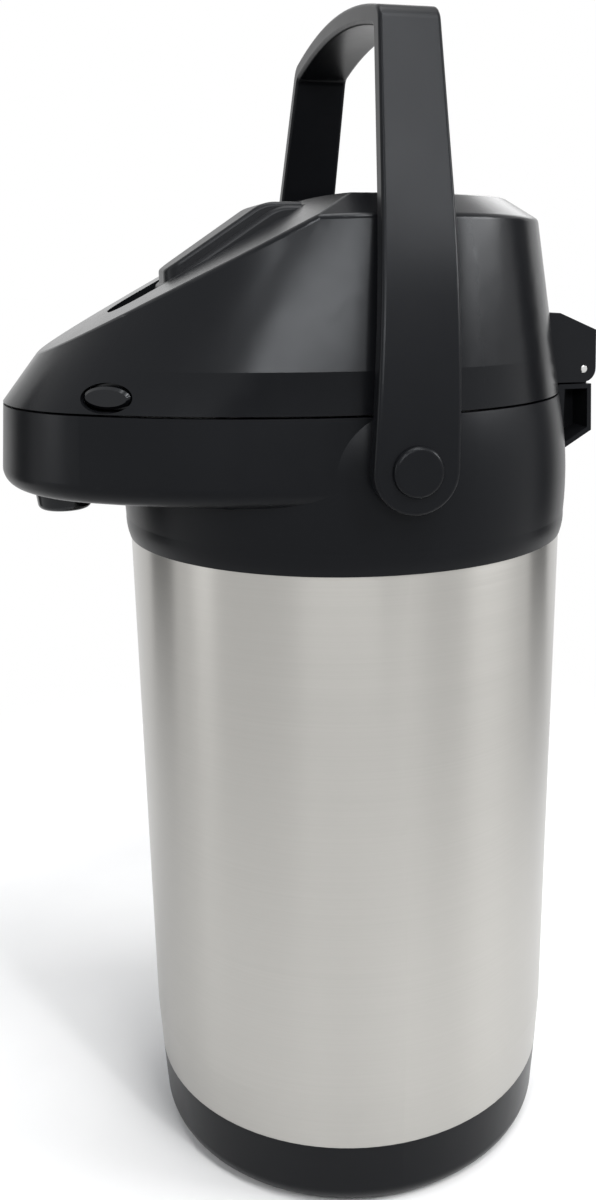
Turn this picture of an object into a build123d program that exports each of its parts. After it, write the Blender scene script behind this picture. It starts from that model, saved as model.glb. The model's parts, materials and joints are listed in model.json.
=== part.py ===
from build123d import *
import math
import os

os.makedirs("parts", exist_ok=True)

# Lever airpot. Millimetres, +Z up, spout towards -Y, lid hinge towards +Y.
# The origin is the centre of the flat pad that it stands on.

# Steel flask
shell_radius = 84.0
shell_wall = 1.0
shell_taper_height = 21.0
shell_seam_radius = 83.0
shell_foot_radius = 80.6
shell_foot_height = 12.0
tuck_height = 4.0
neck_root_height = 275.0
neck_radius = 38.4
neck_top = 283.0
liner_radius = 72.0
liner_wall = 0.9
liner_foot_height = 20.0
liner_shoulder_height = 240.0
lip_height = 1.0

# Base cup and pad
base_height = 29.0
base_waist_radius = 81.8
base_waist_height = 9.0
base_foot_radius = 77.0
base_floor = 4.0
pad_radius = 58.0
pad_thickness = 2.5
pad_stand = 0.5

# Collar round the shoulder, with the beak at the front
collar_bottom = 256.0
collar_radius = 85.5
collar_bulge_height = 264.0
collar_top = 308.1
collar_wall = 2.6
collar_bottom_radius = 84.5
deck_top = 299.0
deck_thickness = 3.0
beak_bottom = 278.5
beak_drop_flare = 2.6
beak_edge_radius = 6.5
beak_lip = 9.0
beak_floor = 2.4
beak_step = 0.3

# Egg-shaped plan of the parting line
rear_radius = 82.0
nose_reach = 127.0
nose_radius = 60.0

# Mouth ring and siphon
ring_bore = 33.5
ring_radius = 45.8
ring_flange_radius = 50.0
ring_flange = 2.0
gasket_thickness = 1.4
pipe_rise = 6.1
pipe_radius = 4.2
pipe_bore = 3.0
tube_reach = 25.5
tube_bottom = 30.0
elbow_radius = 6.6
insert_wall = 2.6

# Spout
nozzle_reach = 108.0
nozzle_top_radius = 10.8
nozzle_tip_radius = 9.5
nozzle_drop = 10.0
nozzle_bore = 5.0

# Lid
parting_gap = 0.8
lid_top = 378.5
lid_top_radius = 70.5
lid_wall = 2.4
roof_axis_height = 386.0
roof_slope = 0.53
roof_front_crown = 3000.0
roof_rear_crown = 900.0
ridge_round = 2.5
ridge_floor = 322.0
overrun = 0.1
crown_radius = 60.0
crown_bevel_slope = 0.6
crown_dome = 0.9
well_front = 88.0
well_rear = 19.0
well_front_width = 33.0
well_rear_width = 46.0
well_depth = 13.0
well_wall = 1.6

# Pump in the lid
pan_thickness = 2.5
pump_radius = 45.0
pump_flange = 3.0
seal_inner = 36.5
seal_outer = 42.5
seal_gap = 0.2
seal_height = 3.3
bellows_radius = 38.0
bellows_fold = 6.0
bellows_folds = 5
bellows_wall = 1.0
bellows_height = 43.0
plate_thickness = 3.0
plate_boss = 1.2
inlet_hole_reach = 26.8
inlet_hole_radius = 2.2
spring_radius = 19.0
spring_wire = 0.9
spring_turns = 6

# Lever
lever_pivot_y = 45.0
lever_pivot_z = 362.0
lever_front = 69.5
lever_front_height = 353.0
lever_slope = 0.65
lever_shoulder_height = 376.8
lever_thickness = 9.0
lever_front_width = 32.0
lever_rear_width = 43.0
lever_arm_width = 26.0
lever_barrel = 6.0
pad_inset = 2.6
pad_rise_front = 4.4
pad_rise_rear = 1.4
pad_round = 1.6
shoulder_round = 14.0
lever_nose = 6.0
lever_pin_radius = 2.0

# Release buttons
button_reach = 94.4
button_height = 314.0
button_length = 17.2
button_width = 7.4
button_depth = 7.0
button_recess = 1.2
button_pocket_gap = 1.1
button_flange = 1.6
button_flange_edge = 0.6
button_travel = 3.0

# Lid hinge
hinge_y = 93.0
hinge_z = 315.0
hinge_pin_radius = 1.5
hinge_width = 34.0
hinge_ear = 4.5
hinge_knuckle = 3.6
hinge_ear_radius = 5.0

# Carrying handle
handle_pivot_y = -1.0
handle_pivot_z = 292.4
handle_clearance = 4.4
handle_thickness = 6.4
handle_ear_radius = 14.2
handle_bow_radius = 277.0
handle_bow_start = 285.0
handle_lean = 19.6
handle_top = 440.0
handle_crown_radius = 253.0
handle_corner_radius = 7.0
handle_top_width = 20.0
handle_set_back = 7.0
handle_edge_round = 1.3
pivot_shaft = 4.0
pivot_cap = 8.3

# Clearances
run_gap = 0.05
slip_gap = 0.15
part_gap = 0.3
lever_gap = 1.2
boss_gap = 1.0

lid_bottom = collar_top + parting_gap
lip_top = neck_top + lip_height
ring_bottom = lip_top + gasket_thickness
ring_top = deck_top + ring_flange
pipe_height = ring_bottom + pipe_rise
pump_floor_height = ring_top + seal_gap + seal_height
pan_top = lid_bottom + pan_thickness
bellows_bottom = pump_floor_height + 2.0
bellows_top = bellows_bottom + bellows_height
plate_top = bellows_top + plate_thickness + plate_boss
nose_height = plate_top + part_gap + lever_nose
lever_shoulder_y = (lever_shoulder_height - lever_front_height) / lever_slope - lever_front
liner_bore = neck_radius - shell_wall - liner_wall
foot_round = 9.0
cup_bore = shell_foot_radius + slip_gap
tuck_radius = collar_bottom_radius - collar_wall - slip_gap
boss_radius = 8.5
boss_inner = collar_radius - collar_wall - 6.0
handle_outer = collar_radius + handle_clearance + handle_thickness
boss_face = handle_outer - handle_thickness - boss_gap
beak_screw_x = 24.0
beak_screw_reach = 96.0
screw_radius = 1.5
bracket_top = hinge_z - hinge_ear_radius - 0.7
knuckle_half = hinge_width / 2 - hinge_ear - part_gap
grommet_radius = pipe_radius + 1.6
pipe_bend = 8.0
cap_base = handle_outer + slip_gap
cap_height = 1.9
cap_round = 1.4
well_corner = 14.0
lever_corner = 8.0
screw_boss = 4.2
screw_head = 3.2
screw_length = 12.0
screw_head_height = 1.4
boss_spots = ((50.0, 28.0), (-50.0, 28.0), (46.0, -50.0), (-46.0, -50.0))
bracket_wall = 1.8
bracket_web = 4.0
bracket_back = hinge_y + 4.3
bracket_heel = hinge_z - 24.0
bracket_foot = hinge_z - 30.5
arm_rear = -12.0
arm_front = -30.0
arm_drop = 5.8
hinge_block_side = ((hinge_y - 16.0, hinge_z + 21.8), (hinge_y - 11.0, hinge_z + 21.6),
                    (hinge_y + 4.5, hinge_z + 15.0), (hinge_y + 5.0, hinge_z + 1.0),
                    (hinge_y + hinge_ear_radius, hinge_z), (hinge_y, hinge_z - hinge_ear_radius),
                    (hinge_y - 13.0, hinge_z - hinge_ear_radius))
hinge_hollow_side = ((hinge_y - 8.0, hinge_z + 12.0), (hinge_y + 3.0, hinge_z + 12.0),
                     (hinge_y + 3.0, hinge_z + hinge_ear_radius), (hinge_y + 9.0, hinge_z + hinge_ear_radius),
                     (hinge_y + 9.0, hinge_z - 9.0), (hinge_y - 8.0, hinge_z - 9.0))


def arc_point(centre, radius, angle):
    """Point at an angle in degrees on a circle."""
    turn = math.radians(angle)
    return (centre[0] + radius * math.cos(turn), centre[1] + radius * math.sin(turn))


def egg_side(rear, reach, nose):
    """Radius of the side arcs that join a rear half circle to a nose arc."""
    run = reach - nose
    return (rear ** 2 + run ** 2 - nose ** 2) / (2 * (rear - nose))


def egg_turn(rear, reach, nose):
    """Angle below +X, seen from a side arc's centre, where it meets the nose arc."""
    side = egg_side(rear, reach, nose)
    return math.degrees(math.atan2(reach - nose, side - rear))


def egg_line(rear, reach, nose):
    """Outline of the egg plan: rear half circle, two side arcs and a nose arc."""
    side = egg_side(rear, reach, nose)
    turn = egg_turn(rear, reach, nose)
    right = (rear - side, 0)
    left = (side - rear, 0)
    joint_r = arc_point(right, side, -turn)
    joint_l = arc_point(left, side, turn - 180)
    with BuildLine() as outline:
        ThreePointArc((rear, 0), (0, rear), (-rear, 0))
        ThreePointArc((-rear, 0), arc_point(left, side, turn / 2 - 180), joint_l)
        ThreePointArc(joint_l, (0, -reach), joint_r)
        ThreePointArc(joint_r, arc_point(right, side, -turn / 2), (rear, 0))
    return outline.line


def half_egg_line(rear, reach, nose):
    """Right half of the egg plan, run a little past the middle."""
    side = egg_side(rear, reach, nose)
    turn = egg_turn(rear, reach, nose)
    centre = (rear - side, 0)
    joint = arc_point(centre, side, -turn)
    with BuildLine() as outline:
        start = arc_point((0, 0), rear, 90 + 90 * overrun)
        end_turn = 90 + (90 - turn) * overrun
        end = arc_point((0, nose - reach), nose, -end_turn)
        ThreePointArc(start, arc_point((0, 0), rear, 45), (rear, 0))
        ThreePointArc((rear, 0), arc_point(centre, side, -turn / 2), joint)
        ThreePointArc(joint, arc_point((0, nose - reach), nose, -(end_turn + turn) / 2), end)
        Line(end, start)
    return outline.line


def half_round_line(radius, split):
    """Right half circle cut into the same arcs as the half egg."""
    with BuildLine() as outline:
        start = arc_point((0, 0), radius, 90 + 90 * overrun)
        end_turn = 90 + (90 - split) * overrun
        end = arc_point((0, 0), radius, -end_turn)
        ThreePointArc(start, arc_point((0, 0), radius, 45), (radius, 0))
        ThreePointArc((radius, 0), arc_point((0, 0), radius, -split / 2), arc_point((0, 0), radius, -split))
        ThreePointArc(arc_point((0, 0), radius, -split),
                      arc_point((0, 0), radius, -(end_turn + split) / 2), end)
        Line(end, start)
    return outline.line


def nose_joint_angle():
    """Angle below +X, seen from the body axis, where the nose arc starts."""
    side = egg_side(rear_radius, nose_reach, nose_radius)
    turn = egg_turn(rear_radius, nose_reach, nose_radius)
    point = arc_point((rear_radius - side, 0), side, -turn)
    return math.degrees(math.atan2(-point[1], point[0]))


def crown_line(apex, crown):
    """Outline of the region above a shallow arch across X."""
    half = 115.0
    high = lid_top + 90.0
    low = apex - crown + math.sqrt(crown ** 2 - half ** 2)
    with BuildLine() as outline:
        ThreePointArc((-half, low), (0, apex), (half, low))
        Polyline((half, low), (half, high), (-half, high), (-half, low))
    return outline.line


def roof_height(y):
    """Height of the sloping roof on the centre line."""
    return roof_axis_height + roof_slope * y


def lid_form(inset):
    """Outer form of the lid, or, with an inset, the hollow inside it."""
    drop = 1.2 * inset
    front_cut = -nose_reach - 13.0
    rear_cut = 5.0
    with BuildPart() as form:
        with BuildSketch(Plane.XY.offset(lid_bottom)):
            add(half_egg_line(rear_radius - inset, nose_reach - inset, nose_radius - inset))
            make_face()
        with BuildSketch(Plane.XY.offset(lid_top + 2.0)):
            add(half_round_line(lid_top_radius - inset, nose_joint_angle()))
            make_face()
        loft(ruled=True)
        with BuildSketch(Plane.XZ.offset(-front_cut)):
            add(crown_line(roof_height(front_cut) - drop, roof_front_crown))
            make_face()
        with BuildSketch(Plane.XZ.offset(-rear_cut)):
            add(crown_line(roof_height(rear_cut) - drop, roof_rear_crown))
            make_face()
        loft(ruled=True, mode=Mode.SUBTRACT)
        with BuildSketch(Plane.XZ):
            with BuildLine():
                edge = (crown_radius, lid_top - crown_dome - drop)
                far = (crown_radius + 40.0, edge[1] - 40.0 * crown_bevel_slope)
                ThreePointArc((0, lid_top - drop), (crown_radius / 2, lid_top - crown_dome / 4 - drop), edge)
                Polyline(edge, far, (far[0], lid_top + 40.0), (0, lid_top + 40.0), (0, lid_top - drop))
            make_face()
        revolve(axis=Axis.Z, mode=Mode.SUBTRACT)
        if inset == 0:
            ridges = form.edges().filter_by(
                lambda e: e.bounding_box().min.Z > ridge_floor and e.bounding_box().max.X > 1.0)
            fillet(ridges, ridge_round)
        split(bisect_by=Plane.YZ, keep=Keep.TOP)
        mirror(about=Plane.YZ)
    return form.part


def flask_form(radius, foot, bottom, neck, inset):
    """Bottle shape turned about the axis, or the space inside it with an inset."""
    with BuildPart() as form:
        with BuildSketch(Plane.XZ) as profile:
            with BuildLine():
                Polyline(
                    (0, bottom + inset),
                    (foot - inset, bottom + inset),
                    (foot - inset, base_height + inset),
                    (min(shell_seam_radius, radius) - inset, base_height + inset),
                    (radius - inset, base_height + shell_taper_height),
                    (radius - inset, collar_bottom - inset),
                    (tuck_radius - inset, collar_bottom - inset),
                    (tuck_radius - inset, collar_bottom + tuck_height - inset),
                    (neck - inset, neck_root_height - inset * 1.1),
                    (neck - inset, neck_top + 2 * inset),
                    (0, neck_top + 2 * inset),
                    (0, bottom + inset),
                )
            make_face()
            corner = profile.vertices().filter_by(
                lambda v: abs(v.X - foot + inset) < 0.01 and abs(v.Y - bottom - inset) < 0.01)
            fillet(corner, foot_round - inset)
        revolve(axis=Axis.Z)
    return form.part


def ring(inner, outer, low, high):
    """Plain ring about the axis."""
    with BuildPart() as form:
        with BuildSketch(Plane.XY.offset(low)):
            Circle(outer)
            Circle(inner, mode=Mode.SUBTRACT)
        extrude(amount=high - low)
    return form.part


def side_profile(points, half_width):
    """Solid from a side outline in Y and Z, as wide as given about the middle."""
    with BuildPart() as form:
        with BuildSketch(Plane.YZ):
            with BuildLine():
                Polyline(*points, points[0])
            make_face()
        extrude(amount=half_width, both=True)
    return form.part


def across(radius, y, z, half_length):
    """Cylinder along X."""
    with BuildPart() as form:
        with BuildSketch(Plane.YZ):
            with Locations((y, z)):
                Circle(radius)
        extrude(amount=half_length, both=True)
    return form.part


# Steel flask: outer shell and inner liner, joined at the mouth
shell_outside = flask_form(shell_radius, shell_foot_radius, shell_foot_height, neck_radius, 0.0)
shell_inside = flask_form(shell_radius, shell_foot_radius, shell_foot_height, neck_radius, shell_wall)
with BuildPart() as outer_shell:
    add(shell_outside)
    add(shell_inside, mode=Mode.SUBTRACT)

with BuildPart() as inner_liner:
    with BuildSketch(Plane.XZ) as liner_profile:
        with BuildLine():
            Polyline(
                (0, liner_foot_height),
                (liner_radius, liner_foot_height),
                (liner_radius, liner_shoulder_height),
                (neck_radius - shell_wall, neck_root_height - 4.0),
                (neck_radius - shell_wall, neck_top),
                (neck_radius, neck_top),
                (neck_radius, lip_top),
                (liner_bore, lip_top),
                (liner_bore, neck_root_height - 4.6),
                (liner_radius - liner_wall, liner_shoulder_height - 0.6),
                (liner_radius - liner_wall, liner_foot_height + liner_wall),
                (0, liner_foot_height + liner_wall),
                (0, liner_foot_height),
            )
        make_face()
        foot_corner = liner_profile.vertices().filter_by(
            lambda v: v.X > liner_radius - 2.0 and v.Y < liner_foot_height + 2.0)
        fillet(foot_corner.sort_by(Axis.X)[-1], foot_round)
        fillet(foot_corner.sort_by(Axis.X)[0], foot_round - liner_wall)
    revolve(axis=Axis.Z)

# Base cup with a rubber pad let into its underside
with BuildPart() as base_cup:
    with BuildSketch(Plane.XZ):
        with BuildLine():
            foot = (base_foot_radius, pad_stand)
            waist = (base_waist_radius, base_waist_height)
            Polyline((0, pad_stand), foot)
            ThreePointArc(foot, (base_waist_radius - 1.2, pad_stand + 3.6), waist)
            Polyline(waist, (shell_seam_radius, base_height), (cup_bore, base_height),
                     (cup_bore, base_floor + 6.0), (cup_bore - 6.0, base_floor),
                     (0, base_floor), (0, pad_stand))
        make_face()
    revolve(axis=Axis.Z)
    with BuildSketch(Plane.XY.offset(pad_stand)):
        Circle(pad_radius)
    extrude(amount=pad_thickness - pad_stand, mode=Mode.SUBTRACT)

with BuildPart() as foot_pad:
    with BuildSketch():
        Circle(pad_radius)
    extrude(amount=pad_thickness)
    chamfer(foot_pad.edges().group_by(Axis.Z)[0], 0.4)

# Collar: a turned band that grows into the beak, with a deck round the mouth
def collar_round(inset, low, high):
    """Round part of the collar between two heights."""
    with BuildPart() as form:
        with BuildSketch(Plane.XZ):
            with BuildLine():
                start = (collar_bottom_radius - inset, collar_bottom)
                bulge = (collar_radius - inset, collar_bulge_height)
                top = (rear_radius - inset, collar_top)
                Line((0, collar_bottom), start)
                ThreePointArc(start, (collar_radius - inset - 0.25, collar_bottom + 3.0), bulge)
                ThreePointArc(bulge, (collar_radius - inset - 0.55, (collar_bottom + collar_top) / 2 + 9.0), top)
                Polyline(top, (0, collar_top), (0, collar_bottom))
            make_face()
        revolve(axis=Axis.Z)
        with BuildSketch(Plane.XY.offset(low)):
            Circle(2 * collar_radius)
        extrude(amount=high - low, mode=Mode.INTERSECT)
    return form.part


def beak_form(inset, low, high, round_rim=False):
    """Beak between two heights, flared a little towards its lower edge."""
    def flare(z):
        return beak_drop_flare * (collar_top - z) / (collar_top - beak_bottom) - inset
    with BuildPart() as form:
        for z in (low, high):
            with BuildSketch(Plane.XY.offset(z)):
                add(egg_line(rear_radius + flare(z) - beak_step, nose_reach + flare(z), nose_radius + flare(z)))
                make_face()
        loft(ruled=True)
        if round_rim:
            fillet(form.edges().group_by(Axis.Z)[0], beak_edge_radius)
        split(bisect_by=Plane.XZ, keep=Keep.TOP)
    return form.part


collar_band = collar_round(0.0, collar_bottom, collar_top)
beak_block = beak_form(0.0, beak_bottom, collar_top, True)
band_space = collar_round(collar_wall, collar_bottom, deck_top - deck_thickness)
band_well = collar_round(collar_wall, deck_top, collar_top)
beak_space = beak_form(collar_wall, beak_bottom + beak_floor, deck_top - deck_thickness)
beak_well = beak_form(collar_wall, deck_top, collar_top)
plate_opening = beak_form(beak_lip, beak_bottom - 1.0, beak_bottom + beak_floor + 1.0)
round_core = ring(collar_radius, 3 * collar_radius, beak_bottom - 2.0, beak_bottom + beak_floor + 2.0)

with BuildPart() as plate_hole:
    add(plate_opening)
    add(round_core, mode=Mode.INTERSECT)

with BuildPart() as collar:
    add(collar_band)
    add(beak_block)
    add(band_space, mode=Mode.SUBTRACT)
    add(beak_space, mode=Mode.SUBTRACT)
    add(band_well, mode=Mode.SUBTRACT)
    add(beak_well, mode=Mode.SUBTRACT)
    add(plate_hole.part, mode=Mode.SUBTRACT)
    with BuildSketch(Plane.XY.offset(deck_top - deck_thickness)):
        Circle(ring_radius + slip_gap)
    extrude(amount=deck_thickness, mode=Mode.SUBTRACT)
    for side in (-1, 1):
        with BuildSketch(Plane.YZ.offset(side * boss_inner)):
            with Locations((handle_pivot_y, handle_pivot_z)):
                Circle(boss_radius)
        extrude(amount=side * (boss_face - boss_inner))
    with BuildSketch(Plane.YZ):
        with Locations((handle_pivot_y, handle_pivot_z)):
            Circle(pivot_shaft)
    extrude(amount=2 * collar_radius, both=True, mode=Mode.SUBTRACT)
    for side in (-1, 1):
        with BuildSketch(Plane.XY.offset(beak_bottom + beak_floor)):
            with Locations((side * beak_screw_x, -beak_screw_reach)):
                Circle(3.4)
        extrude(amount=deck_top - deck_thickness - beak_bottom - beak_floor)
        with BuildSketch(Plane.XY.offset(beak_bottom)):
            with Locations((side * beak_screw_x, -beak_screw_reach)):
                Circle(screw_radius)
        extrude(amount=beak_floor + 10.0, mode=Mode.SUBTRACT)
    add(side_profile(((hinge_y - 12.0, collar_top - 1.0), (hinge_y - 10.2, bracket_top), (hinge_y + 3.4, bracket_top),
                      (bracket_back, bracket_heel), (hinge_y - 6.5, bracket_foot), (hinge_y - 12.0, bracket_foot)),
                     hinge_width / 2))
    for side in (-1, 1):
        with BuildSketch(Plane.YZ.offset(side * bracket_web)):
            with BuildLine():
                Polyline((hinge_y - 7.8, bracket_top - bracket_wall), (hinge_y + 1.8, bracket_top - bracket_wall),
                         (bracket_back - bracket_wall, bracket_heel + 1.2), (hinge_y - 6.0, bracket_foot + 2.5),
                         (hinge_y - 7.8, bracket_foot + 2.5), close=True)
            make_face()
        extrude(amount=side * hinge_width, mode=Mode.SUBTRACT)
    add(side_profile(((hinge_y - hinge_knuckle, bracket_top), (hinge_y + hinge_knuckle, bracket_top),
                      (hinge_y + hinge_knuckle, hinge_z), (hinge_y - hinge_knuckle, hinge_z)),
                     knuckle_half))
    add(across(hinge_knuckle, hinge_y, hinge_z, knuckle_half))
    add(across(hinge_pin_radius + run_gap, hinge_y, hinge_z, hinge_width), mode=Mode.SUBTRACT)

# Plate that closes the underside of the beak, its two screws and the nozzle
plate_form = beak_form(beak_lip + slip_gap, beak_bottom, beak_bottom + beak_floor)
plate_core = ring(collar_radius + slip_gap, 3 * collar_radius, beak_bottom, beak_bottom + beak_floor)
with BuildPart() as beak_plate:
    add(plate_form)
    add(plate_core, mode=Mode.INTERSECT)
    with BuildSketch(Plane.XY.offset(beak_bottom)):
        with Locations((0, -nozzle_reach)):
            Circle(nozzle_top_radius - 2.0)
    extrude(amount=beak_floor, mode=Mode.SUBTRACT)
    with BuildSketch(Plane.XY.offset(beak_bottom)):
        with Locations((-beak_screw_x, -beak_screw_reach), (beak_screw_x, -beak_screw_reach)):
            Circle(screw_radius + run_gap)
    extrude(amount=beak_floor, mode=Mode.SUBTRACT)

with BuildPart() as beak_screws:
    with BuildSketch(Plane.XY.offset(beak_bottom)):
        with Locations((-beak_screw_x, -beak_screw_reach), (beak_screw_x, -beak_screw_reach)):
            Circle(screw_radius)
    extrude(amount=beak_floor + 9.0)
    with BuildSketch(Plane.XY.offset(beak_bottom)):
        with Locations((-beak_screw_x, -beak_screw_reach), (beak_screw_x, -beak_screw_reach)):
            Circle(3.0)
    extrude(amount=-1.6)
    fillet(beak_screws.edges().group_by(Axis.Z)[0], 0.8)

with BuildPart() as nozzle:
    with BuildSketch(Plane.XZ.offset(nozzle_reach)):
        with BuildLine():
            tip = beak_bottom - nozzle_drop
            Polyline((nozzle_bore, beak_bottom + beak_floor + 1.5), (nozzle_bore, tip),
                     (nozzle_tip_radius, tip), (nozzle_top_radius, beak_bottom),
                     (nozzle_top_radius - 2.0 - run_gap, beak_bottom),
                     (nozzle_top_radius - 2.0 - run_gap, beak_bottom + beak_floor + 1.5),
                     (nozzle_bore, beak_bottom + beak_floor + 1.5))
        make_face()
    revolve(axis=Axis((0, -nozzle_reach, 0), (0, 0, 1)))
    fillet(nozzle.edges().group_by(Axis.Z)[0].sort_by(SortBy.LENGTH)[-1], 2.2)

# Mouth ring that clamps the collar to the neck, on a gasket
with BuildPart() as neck_ring:
    add(ring(ring_bore, ring_radius, ring_bottom, deck_top))
    add(ring(ring_bore, ring_flange_radius, deck_top, ring_top))
    fillet(neck_ring.edges().group_by(Axis.Z)[-1].sort_by(SortBy.LENGTH)[0], 0.8)
    with BuildSketch(Plane.XZ.offset(ring_bore - 3.0)):
        with Locations((0, pipe_height)):
            Circle(grommet_radius)
    extrude(amount=ring_radius, mode=Mode.SUBTRACT)

with BuildPart() as neck_gasket:
    add(ring(liner_bore, neck_radius, lip_top, ring_bottom))

with BuildPart() as pipe_grommet:
    with BuildSketch(Plane.XZ.offset(ring_bore + 1.0)):
        with Locations((0, pipe_height)):
            Circle(grommet_radius)
            Circle(pipe_radius, mode=Mode.SUBTRACT)
    extrude(amount=ring_radius - ring_bore - 1.4)

# Siphon: a seat ring with an elbow at the front of the mouth, tube and delivery pipe
seat_low = ring_bottom + 0.2
seat_high = seat_low + 3.0
with BuildPart() as siphon_head:
    add(ring(ring_bore - insert_wall, ring_bore - slip_gap, seat_low, seat_high))
    with BuildSketch(Plane.XY.offset(neck_top - 4.0)):
        with Locations((0, -tube_reach)):
            Circle(elbow_radius)
    extrude(amount=pipe_height + elbow_radius - 0.5 - neck_top + 4.0)
    with BuildSketch(Plane.XZ.offset(tube_reach)):
        with Locations((0, pipe_height)):
            Circle(elbow_radius)
    extrude(amount=ring_bore - slip_gap - 0.8 - tube_reach)
    with BuildSketch(Plane.XY.offset(neck_top - 5.0)):
        with Locations((0, -tube_reach)):
            Circle(pipe_radius)
    extrude(amount=pipe_height - neck_top + 5.0, mode=Mode.SUBTRACT)
    with BuildSketch(Plane.XZ.offset(tube_reach)):
        with Locations((0, pipe_height)):
            Circle(pipe_radius)
    extrude(amount=ring_bore - tube_reach, mode=Mode.SUBTRACT)

with BuildPart() as siphon_tube:
    with BuildSketch(Plane.XY.offset(tube_bottom)):
        with Locations((0, -tube_reach)):
            Circle(pipe_radius)
            Circle(pipe_bore, mode=Mode.SUBTRACT)
    extrude(amount=pipe_height - pipe_radius - 0.3 - tube_bottom)
    with BuildSketch(Plane.XZ.offset(tube_reach - 2 * pipe_radius)):
        with Locations((0, tube_bottom)):
            Rectangle(2.0, 6.0)
    extrude(amount=4 * pipe_radius, mode=Mode.SUBTRACT)

pipe_start = (0, -tube_reach - pipe_radius, pipe_height)
with BuildPart() as delivery_pipe:
    with BuildLine() as pipe_path:
        FilletPolyline(pipe_start, (0, -nozzle_reach, pipe_height),
                       (0, -nozzle_reach, beak_bottom + beak_floor + 1.6), radius=pipe_bend)
    with BuildSketch(Plane(origin=pipe_start, x_dir=(1, 0, 0), z_dir=(0, -1, 0))):
        Circle(pipe_radius)
        Circle(pipe_bore, mode=Mode.SUBTRACT)
    sweep()

# Handle pivots: a shaft through each ear with a shallow domed cap outside
with BuildPart() as handle_pivots:
    for side in (-1, 1):
        with BuildSketch(Plane.YZ.offset(side * (boss_inner - 1.0))):
            with Locations((handle_pivot_y, handle_pivot_z)):
                Circle(pivot_shaft)
        extrude(amount=side * (cap_base + 0.5 - boss_inner + 1.0))
        with BuildSketch(Plane.YZ.offset(side * cap_base)):
            with Locations((handle_pivot_y, handle_pivot_z)):
                Circle(pivot_cap)
        extrude(amount=side * cap_height)
    rims = handle_pivots.edges().filter_by(GeomType.CIRCLE)
    fillet(rims.sort_by(Axis.X)[0], cap_round)
    fillet(handle_pivots.edges().filter_by(GeomType.CIRCLE).sort_by(Axis.X)[-1], cap_round)


# Carrying handle: a bail bent inwards from the ears to a crowned grip
def ear_tangent(corner_y, turn):
    """Point on the ear's circle from which a line to a top corner leaves tangentially."""
    run = corner_y - handle_pivot_y
    rise = handle_top - handle_pivot_z
    angle = math.atan2(rise, run) + turn * math.acos(handle_ear_radius / math.hypot(run, rise))
    return arc_point((handle_pivot_y, handle_pivot_z), handle_ear_radius, math.degrees(angle))


def bail_line(inset):
    """Half outline of the bail in X and Z, from the ear to the middle of the grip."""
    lean = math.radians(handle_lean)
    bow = handle_bow_radius - inset
    bow_centre = (handle_outer - handle_bow_radius, handle_bow_start)
    bow_end = arc_point(bow_centre, bow, handle_lean)
    crown_centre_z = handle_top - handle_crown_radius
    crown = handle_crown_radius - inset
    step = (-math.sin(lean), math.cos(lean))
    rel = (bow_end[0], bow_end[1] - crown_centre_z)
    along = rel[0] * step[0] + rel[1] * step[1]
    run = -along + math.sqrt(along ** 2 - rel[0] ** 2 - rel[1] ** 2 + crown ** 2)
    corner = (bow_end[0] + run * step[0], bow_end[1] + run * step[1])
    half_turn = math.atan2(corner[0], corner[1] - crown_centre_z) / 2
    middle = (crown * math.sin(half_turn), crown_centre_z + crown * math.cos(half_turn))
    low = handle_pivot_z - 2 * handle_ear_radius
    with BuildLine() as outline:
        Polyline((0, low), (handle_outer - inset, low), (handle_outer - inset, handle_bow_start))
        ThreePointArc((handle_outer - inset, handle_bow_start),
                      arc_point(bow_centre, bow, handle_lean / 2), bow_end)
        Line(bow_end, corner)
        ThreePointArc(corner, middle, (0, crown_centre_z + crown))
        Line((0, crown_centre_z + crown), (0, low))
    return outline.line, corner


outer_line, outer_corner = bail_line(0.0)
inner_line, inner_corner = bail_line(handle_thickness)
with BuildPart() as handle:
    for line, corner, radius, mode in (
            (outer_line, outer_corner, handle_corner_radius, Mode.ADD),
            (inner_line, inner_corner, handle_corner_radius / 2, Mode.SUBTRACT)):
        with BuildSketch(Plane.XZ) as half_bail:
            add(line)
            make_face()
            fillet(half_bail.vertices().sort_by_distance(Vector(*corner))[0], radius)
            mirror(about=Plane.YZ)
        extrude(amount=60.0, both=True, mode=mode)
    with BuildSketch(Plane.YZ):
        with Locations((handle_pivot_y, handle_pivot_z)):
            Circle(handle_ear_radius)
        with BuildLine():
            rear_corner = handle_set_back + handle_top_width / 2
            front_corner = handle_set_back - handle_top_width / 2
            Polyline(ear_tangent(rear_corner, -1), (rear_corner, handle_top), (rear_corner, handle_top + 1.0),
                     (front_corner, handle_top + 1.0), (front_corner, handle_top),
                     ear_tangent(front_corner, 1), close=True)
        make_face()
    extrude(amount=120.0, both=True, mode=Mode.INTERSECT)
    with BuildSketch(Plane.YZ):
        with Locations((handle_pivot_y, handle_pivot_z)):
            Circle(pivot_shaft + run_gap)
    extrude(amount=120.0, both=True, mode=Mode.SUBTRACT)
    fillet(handle.edges().filter_by(lambda e: e.length > 27.0), handle_edge_round)


# Lid: a hollow moulding with a sloping roof, a lever well and a hinge block
def well_line(grow):
    """Plan outline of the lever well, wider at the rear, rounded at the front."""
    front = -well_front - grow
    rear = -well_rear + grow
    half_front = well_front_width / 2 + grow
    half_rear = well_rear_width / 2 + grow
    return ((-half_rear, rear), (-half_front, front), (half_front, front), (half_rear, rear))


def well_block(grow, low, high):
    """Upright block with the plan of the lever well."""
    with BuildPart() as form:
        with BuildSketch(Plane.XY.offset(low)) as plan:
            with BuildLine():
                Polyline(*well_line(grow), close=True)
            make_face()
            fillet(plan.vertices().sort_by(Axis.Y)[:2], well_corner + grow)
        extrude(amount=high - low)
    return form.part


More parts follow.
